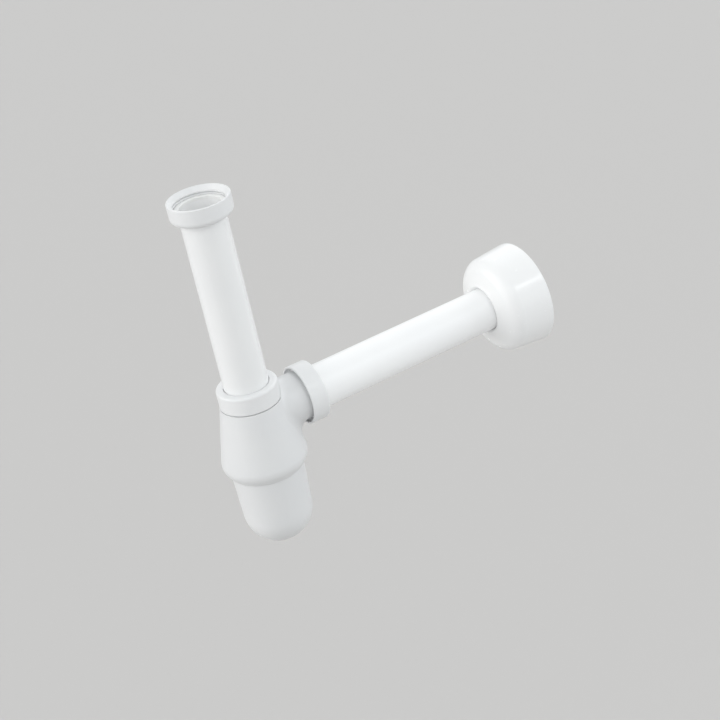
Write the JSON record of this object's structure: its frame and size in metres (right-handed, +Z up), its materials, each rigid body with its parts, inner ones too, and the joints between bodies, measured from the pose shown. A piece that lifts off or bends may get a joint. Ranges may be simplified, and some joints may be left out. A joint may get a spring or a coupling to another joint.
{
  "type": "bottle trap",
  "caption": "White plastic bottle trap for a washbasin: threaded inlet tube, round-bottomed cup, side outlet pipe and deep wall flange.",
  "frame": {"origin": "on the inlet's axis, in the top face of the washer that the basin's waste seats on", "axes": "+Z up along the inlet tube, +X along the outlet pipe to the wall"},
  "size_m": [0.3293, 0.0966, 0.3367],
  "materials": {
    "satin_white": "satin",
    "gloss_white": "gloss",
    "white_rubber": "matt",
    "grey_rubber": "matt",
    "natural_plastic": "matt"
  },
  "bodies": {
    "inlet_nut": {"inlet_nut": "satin_white"},
    "dip_tube": {"dip_tube": "gloss_white", "inlet_washer": "white_rubber"},
    "tube_seal": {"tube_seal": "grey_rubber"},
    "trap_body": {"trap_body": "satin_white", "outlet_seal": "grey_rubber"},
    "tube_slip_ring": {"tube_slip_ring": "natural_plastic"},
    "tube_nut": {"tube_nut": "satin_white"},
    "outlet_slip_ring": {"outlet_slip_ring": "natural_plastic"},
    "outlet_nut": {"outlet_nut": "satin_white"},
    "outlet_pipe": {"outlet_pipe": "gloss_white"},
    "wall_flange": {"wall_flange": "gloss_white"},
    "cup_seal": {"cup_seal": "grey_rubber"},
    "cup": {"cup": "satin_white"}
  },
  "joints": [
    {"name": "inlet_swivel", "type": "hinge", "parent": "inlet_nut", "child": "dip_tube", "pos_m": [0, 0, 0], "axis": [0, 0, 1], "continuous": true},
    {"name": "height_adjust", "type": "slide", "parent": "dip_tube", "child": "tube_seal", "axis": [0, 0, 1], "range_m": [-0.012, 0.03]},
    {"name": "outlet_direction", "type": "hinge", "parent": "tube_seal", "child": "trap_body", "pos_m": [0, 0, -0.203], "axis": [0, 0, 1], "continuous": true},
    {"name": "tube_nut_lift", "type": "slide", "parent": "trap_body", "child": "tube_slip_ring", "axis": [0, 0, 1], "range_m": [0, 0.00924]},
    {"name": "tube_nut_turn", "type": "hinge", "parent": "tube_slip_ring", "child": "tube_nut", "pos_m": [0, 0, -0.203], "axis": [0, 0, 1], "range_deg": [0, 1440]},
    {"name": "outlet_nut_travel", "type": "slide", "parent": "trap_body", "child": "outlet_slip_ring", "axis": [1, 0, 0], "range_m": [0, 0.00924]},
    {"name": "outlet_nut_turn", "type": "hinge", "parent": "outlet_slip_ring", "child": "outlet_nut", "pos_m": [0, 0, -0.203], "axis": [1, 0, 0], "range_deg": [0, 1440]},
    {"name": "outlet_reach", "type": "slide", "parent": "trap_body", "child": "outlet_pipe", "axis": [1, 0, 0], "range_m": [0, 0.014]},
    {"name": "flange_slide", "type": "slide", "parent": "outlet_pipe", "child": "wall_flange", "axis": [1, 0, 0], "range_m": [-0.165, 0.02]},
    {"name": "cup_drop", "type": "slide", "parent": "trap_body", "child": "cup_seal", "axis": [0, 0, -1], "range_m": [0, 0.021]},
    {"name": "cup_turn", "type": "hinge", "parent": "cup_seal", "child": "cup", "pos_m": [0, 0, -0.203], "axis": [0, 0, -1], "range_deg": [0, 2520]}
  ],
  "couplings": [
    {"joint": "tube_nut_lift", "follows": "tube_nut_turn", "m_per_rad": 0.00036749},
    {"joint": "outlet_nut_travel", "follows": "outlet_nut_turn", "m_per_rad": 0.00036749},
    {"joint": "cup_drop", "follows": "cup_turn", "m_per_rad": 0.00047746}
  ]
}
